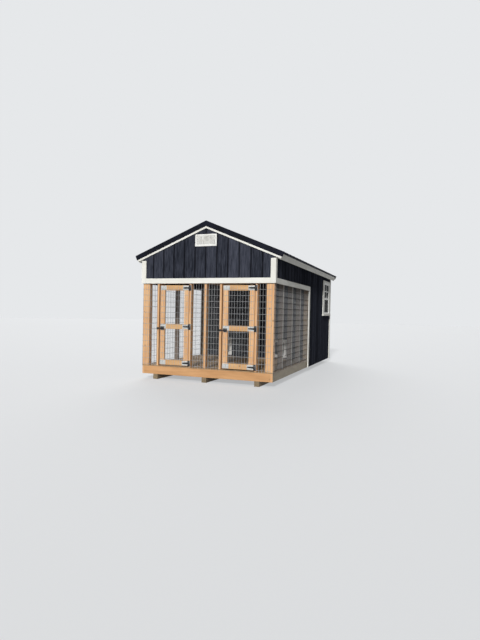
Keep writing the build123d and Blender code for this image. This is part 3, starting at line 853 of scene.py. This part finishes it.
def gate_screws(gate, opening):
    """Screws through the straps and latch plate of one gate, and the knob of its bolt."""
    bm = bmesh.new()
    pivot = opening + gate_opening_half - gate_hinge_gap / 2
    face = front_high.y - plate_face
    for height in gate_rail_heights:
        for distance in strap_screw_distances:
            screw(bm, (pivot - distance, face, height), (0, -1, 0))
    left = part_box(f"{gate}_mesh")[0].x
    for across in (latch_screw_inset, latch_plate_width - latch_screw_inset):
        for end in (-1, 1):
            height = latch_height + end * (latch_plate_height / 2 - latch_screw_inset)
            screw(bm, (left + across, face, height), (0, -1, 0))
    knob_face = front_high.y - latch_bar_face + knob_root
    knob = Vector((left + latch_plate_width / 2, knob_face, latch_height))
    rod(bm, knob, knob + Vector((0, -knob_length, 0)), knob_radius, 12, knob_end_radius)
    finish_piece(bm, f"{gate}_screws", hardware, gate, smooth=50)


def leaf_screws():
    """Screws through the hinge leaves, three in each."""
    bm = bmesh.new()
    for opening in (-gate_opening_centre, gate_opening_centre):
        across = opening + gate_opening_half - gate_hinge_gap / 2 + hinge_leaf_offset
        for height in gate_rail_heights:
            for offset in leaf_screw_offsets:
                screw(bm, (across, front_high.y - plate_face, height + offset), (0, -1, 0))
    finish_piece(bm, "hinge_leaf_screws", hardware, "building", smooth=50)


def front_staples():
    """Staples on the posts and jambs, clear of the hinge leaves and catches."""
    bm = bmesh.new()
    post = front_high.x - post_staple_inset
    lap = gate_opening_half + stud - mesh_lap / 2
    openings = (-gate_opening_centre, gate_opening_centre)
    jambs = [opening + end * lap for opening in openings for end in (-1, 1)]
    for row in level_rows(front_low.z, front_high.z):
        clear = abs(row - latch_height) >= catch_clearance
        clear &= all(abs(row - height) >= leaf_clearance for height in gate_rail_heights)
        for across in (-post, 0.0, post, *(jambs if clear else ())):
            staple(bm, (across, front_high.y, row), (0, -1, 0))
    finish_piece(bm, "wire_staples_front", wire_zinc, "building")


def side_staples():
    """Staples on the corner posts, the studs and the edge of the box."""
    bm = bmesh.new()
    low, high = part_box("side_mesh_right")
    first_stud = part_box("run_studs")[0].y + stud / 2
    studs = [first_stud + index * side_stud_spacing for index in range(3)]
    for side in (-1, 1):
        for along in (low.y + corner_staple_inset, *studs, high.y - box_staple_inset):
            for row in level_rows(low.z, high.z):
                staple(bm, (side * low.x, along, row), (side, 0, 0))
    finish_piece(bm, "wire_staples_sides", side_zinc_painted_shade, "building")


def gate_staples(gate):
    """Staples down both stiles of one gate, clear of the truss plates and the latch."""
    bm = bmesh.new()
    low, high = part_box(f"{gate}_frame")
    latch_stile, hinge_stile = low.x + board_width / 2, high.x - board_width / 2
    for row in level_rows(low.z + gate_staple_margin, high.z - gate_staple_margin):
        if any(abs(row - height) < nail_plate_clearance for height in gate_rail_heights):
            continue
        if abs(row - latch_height) > latch_clearance:
            staple(bm, (latch_stile, front_high.y, row), (0, -1, 0))
        staple(bm, (hinge_stile, front_high.y, row), (0, -1, 0))
    finish_piece(bm, f"{gate}_staples", wire_zinc, gate)


def rim_nails():
    """Nail heads where the front and back rims are nailed to the side rims."""
    bm = bmesh.new()
    low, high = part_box("side_rims")
    for side in (-1, 1):
        for height in rim_nail_heights:
            for face, out in ((low.y, -1), (high.y, 1)):
                foot = (side * (high.x - stud / 2), face, height)
                screw(bm, foot, (0, out, 0), rim_nail_head)
    finish_piece(bm, "rim_nails", wire_zinc, "building", smooth=50)


for gate, opening in (("gate_left", -gate_opening_centre), ("gate_right", gate_opening_centre)):
    gate_screws(gate, opening)
    gate_staples(gate)
leaf_screws()
front_staples()
side_staples()
rim_nails()


# Windows: a frame, an upper sash of four lights, a lower sash set back, and a screen over it


def window_ring(bm, low, high, face, back, front):
    """Adds a mitred frame in wall coordinates, between two corners and two depths."""
    ring = bmesh.new()
    outline = (low, (high[0], low[1]), high, (low[0], high[1]))
    middle = ring.faces.new([ring.verts.new((across, up, back)) for across, up in outline])
    middle.normal_update()
    bmesh.ops.inset_region(
        ring,
        faces=[middle],
        thickness=face,
        use_even_offset=True,
        use_boundary=True,
    )
    bmesh.ops.delete(ring, geom=[middle], context="FACES_ONLY")
    raise_faces(ring, ring.faces[:], front - back)
    add_mesh(bm, ring)


def slab(bm, low, high, depths, grown=0.0):
    """Adds a block in wall coordinates, grown on all four edges, between two depths."""
    back, front = depths
    low_corner = (low[0] - grown, low[1] - grown, back)
    return block(bm, low_corner, (high[0] + grown, high[1] + grown, front))


def add_window(frames, panes, screens, place, low, high):
    """Adds one window between two corners, to the frames, panes and screens of both."""
    middle_up = (low[1] + high[1]) / 2
    upper_low = (low[0] + window_frame_face, middle_up - sash_face / 2)
    upper_high = (high[0] - window_frame_face, high[1] - window_frame_face)
    lower_low = (upper_low[0], low[1] + window_frame_face)
    lower_high = (upper_high[0], middle_up + sash_face / 2)
    sashes = bmesh.new()
    window_ring(sashes, low, high, window_frame_face, *window_frame_depths)
    window_ring(sashes, upper_low, upper_high, sash_face, *upper_sash_depths)
    window_ring(sashes, lower_low, lower_high, sash_face, *lower_sash_depths)
    ease(sashes, sash_ease)

    def sight(low, high):
        """The opening inside a sash."""
        return (low[0] + sash_face, low[1] + sash_face), (high[0] - sash_face, high[1] - sash_face)

    upper_sight, lower_sight = sight(upper_low, upper_high), sight(lower_low, lower_high)
    # Flat bars lie on the pane of the upper sash
    (left, bottom), (right, top) = upper_sight
    across, up, bar = (left + right) / 2, (bottom + top) / 2, muntin_face / 2
    slab(sashes, (across - bar, bottom), (across + bar, top), upright_bar_depths)
    slab(sashes, (left, up - bar), (right, up + bar), level_bar_depths)
    add_mesh(frames, sashes, place)

    made = slab(panes, *upper_sight, upper_pane_depths, glazing_lap)
    made += slab(panes, *lower_sight, lower_pane_depths, glazing_lap)
    bmesh.ops.transform(panes, matrix=place, verts=made)

    # The screen covers the lower sash up to the foot of the upper one
    screen_high = (upper_high[0], upper_low[1])
    screen_frame = bmesh.new()
    window_ring(screen_frame, lower_low, screen_high, screen_frame_face, *screen_frame_depths)
    ease(screen_frame, sash_ease)
    add_mesh(frames, screen_frame, place)
    made = slab(screens, lower_low, screen_high, screen_depths, screen_lap - screen_frame_face)
    bmesh.ops.transform(screens, matrix=place, verts=made)


def add_casing(casings, place, side, window):
    """Adds the boards that butt against one window. The CAD trims give their outer edges."""
    low, high = window
    trim_low, trim_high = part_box("window_trims")
    left, right = sorted((side * (low.y - window_casing), side * trim_high.y))
    near, far = sorted((side * low.y, side * high.y))
    flat = (0, casing_thickness)
    boards = bmesh.new()
    slab(boards, (left, low.z), (near, high.z), flat)
    slab(boards, (far, low.z), (right, high.z), flat)
    slab(boards, (left, high.z), (right, high.z + window_head), flat)
    sill_left, sill_right = sorted((side * trim_low.y, side * trim_high.y))
    slab(boards, (sill_left, trim_low.z), (sill_right, low.z), (0, trim_high.x - high.x))
    ease(boards, board_ease)
    add_mesh(casings, boards, place)


def windows():
    """Both windows, in the place of the CAD frames, trims and glass."""
    low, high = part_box("window_frames")
    frames, casings, screens, panes = bmesh.new(), bmesh.new(), bmesh.new(), bmesh.new()
    for side in (-1, 1):
        near, far = sorted((side * low.y, side * high.y))
        place = wall_place((side, 0, 0), (side * high.x, 0, 0))
        add_window(frames, panes, screens, place, (near, low.z), (far, high.z))
        add_casing(casings, place, side, (low, high))
    for bm, name, material, slot, replaced, smooth in (
        (frames, "sash_windows", white_vinyl, "white_plastic", ["window_frames"], 40),
        (casings, "window_casings", trim_y, "white_trim", ["window_trims"], None),
        (screens, "window_screens", screen_cloth, "black_hardware", [], None),
        (panes, "window_panes", glass, "clear_glass", ["window_glass"], None),
    ):
        finish_piece(bm, name, material, "building", replaced, smooth)


windows()


# Roof screws and the low ribs between the high ones


def slope_place(side):
    """Turns roof coordinates (along the ridge, down the slope, out) to one slope, from the ridge line."""
    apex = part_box("front_gable_siding")[1].z
    down = Vector((side * cos(roof_slope), 0, -sin(roof_slope)))
    out = Vector((side * sin(roof_slope), 0, cos(roof_slope)))
    turn = Matrix((Vector((0, -side, 0)), down, out)).transposed().to_4x4()
    return Matrix.Translation((0, 0, apex)) @ turn


def minor_rib(bm, place, middle, slope_end):
    """A low rolled rib down one slope, narrower at its top."""
    low = (middle - minor_rib_base / 2, minor_rib_start, roof_thickness)
    high = (middle + minor_rib_base / 2, slope_end, roof_thickness + minor_rib_height)
    made = block(bm, low, high)
    for vert in made:
        if vert.co.z > roof_thickness + minor_rib_height / 2:
            vert.co.x = middle + (vert.co.x - middle) * minor_rib_top / minor_rib_base
    bmesh.ops.transform(bm, matrix=place, verts=made)


def roof_screw(bm, place, foot):
    """A hex-head screw on its washer."""
    washer_top = foot + Vector((0, 0, washer_thickness))
    made = rod(bm, foot, washer_top, washer_radius, 8)
    made += rod(bm, washer_top, washer_top + Vector((0, 0, hex_height)), hex_radius, 6)
    bmesh.ops.transform(bm, matrix=place, verts=made)


def roof_details():
    """Two minor ribs between each pair of high ones, and screws in rows beside every high rib."""
    panel_high = outer_corner("roof_panels")
    slope_run = panel_high.x - (roof_thickness + rib_height) * sin(roof_slope)
    slope_end = slope_run / cos(roof_slope) - minor_rib_end_gap
    rib_count = int(2 * (panel_high.y - gable_trim_flange) // rib_pitch)
    first_rib = -(rib_count - 1) * rib_pitch / 2
    row_pitch = (slope_end - last_screw_margin - first_screw_row) / (roof_screw_rows - 1)
    ribs, screws = bmesh.new(), bmesh.new()
    for side in (-1, 1):
        place = slope_place(side)
        for index in range(rib_count):
            high_rib = first_rib + index * rib_pitch
            if index < rib_count - 1:
                for third in (1, 2):
                    minor_rib(ribs, place, high_rib + third * rib_pitch / 3, slope_end)
            across = high_rib + rib_base / 2 + screw_beside_rib
            for row in range(roof_screw_rows):
                down = first_screw_row + row * row_pitch
                roof_screw(screws, place, Vector((across, down, roof_thickness)))
    finish_piece(ribs, "roof_minor_ribs", steel, "building")
    finish_piece(screws, "roof_screws", steel, "building")


roof_details()


# Stage, light and camera

floor_radius = 60.0
focal_length = 26.46


def shown_rays(tree):
    """1 where the stage is seen, also in gloss and through glass, and 0 where it lights the object."""
    shown = add_node(tree, "ShaderNodeLightPath", {}, "Is Camera Ray")
    for kind in ("Is Glossy Ray", "Is Transmission Ray"):
        also = add_node(tree, "ShaderNodeLightPath", {}, kind)
        shown = add_node(tree, "ShaderNodeMath", {0: shown, 1: also}, operation="MAXIMUM")
    return shown


def add_object(name, data):
    """Adds an object to the scene."""
    made = bpy.data.objects.new(name, data)
    bpy.context.scene.collection.objects.link(made)
    return made


def studio_floor():
    """A pale matt floor that reads a little brighter than the light on it would make it."""
    material, tree, place = start_material("pale_floor")
    lift = add_node(tree, "ShaderNodeMath", {0: shown_rays(tree), 1: 0.5}, operation="MULTIPLY")
    pale = {
        "Base Color": linear("#9b9c9d"),
        "Roughness": 0.9,
        "Emission Color": linear("#eceef0"),
        "Emission Strength": lift,
    }
    disc = bmesh.new()
    bmesh.ops.create_circle(disc, cap_ends=True, segments=96, radius=floor_radius)
    mesh = bpy.data.meshes.new("studio_floor")
    disc.to_mesh(mesh)
    disc.free()
    mesh.materials.append(end_material(material, pale))
    add_object("studio_floor", mesh)


def lamp(name, energy, spread, tilt, turn):
    """A distant lamp, with its spread and directions in degrees."""
    light = bpy.data.lights.new(name, "SUN")
    light.energy = energy
    light.angle = radians(spread)
    add_object(name, light).rotation_euler = (radians(tilt), 0, radians(turn))


def backdrop():
    """A weak even fill that the object gets, and a pale backdrop that the camera sees."""
    world = bpy.data.worlds.new("soft_studio")
    bpy.context.scene.world = world
    world.use_nodes = True
    tree = world.node_tree
    fill = add_node(tree, "ShaderNodeBackground", {"Color": linear("#ffffff"), "Strength": 0.10})
    pale = add_node(tree, "ShaderNodeBackground", {"Color": linear("#e6e8ea"), "Strength": 1.0})
    mixed = add_node(tree, "ShaderNodeMixShader", {0: shown_rays(tree), 1: fill, 2: pale})
    set_inputs(tree, tree.nodes["World Output"], {"Surface": mixed})


def photo_camera():
    """The camera as fitted to the building's edges, in metres and degrees, with its lens in millimetres."""
    eye = (3.415, -9.6885, 1.200)
    pan, lowered, roll = 20.96, 0.86, 1.13
    lens = bpy.data.cameras.new("camera")
    lens.lens = focal_length
    camera = add_object("camera", lens)
    camera.matrix_world = (
        Matrix.Translation(eye)
        @ Matrix.Rotation(radians(pan), 4, "Z")
        @ Matrix.Rotation(radians(90 - lowered), 4, "X")
        @ Matrix.Rotation(radians(roll), 4, "Z")
    )
    bpy.context.scene.camera = camera


studio_floor()
lamp("key", 3.0, 5, 63, 8)
# A broad weak lamp from behind on the left keeps the shaded sides readable
lamp("back_fill", 1.4, 40, -52, 28)
backdrop()
photo_camera()
bpy.context.scene.view_settings.view_transform = "Standard"
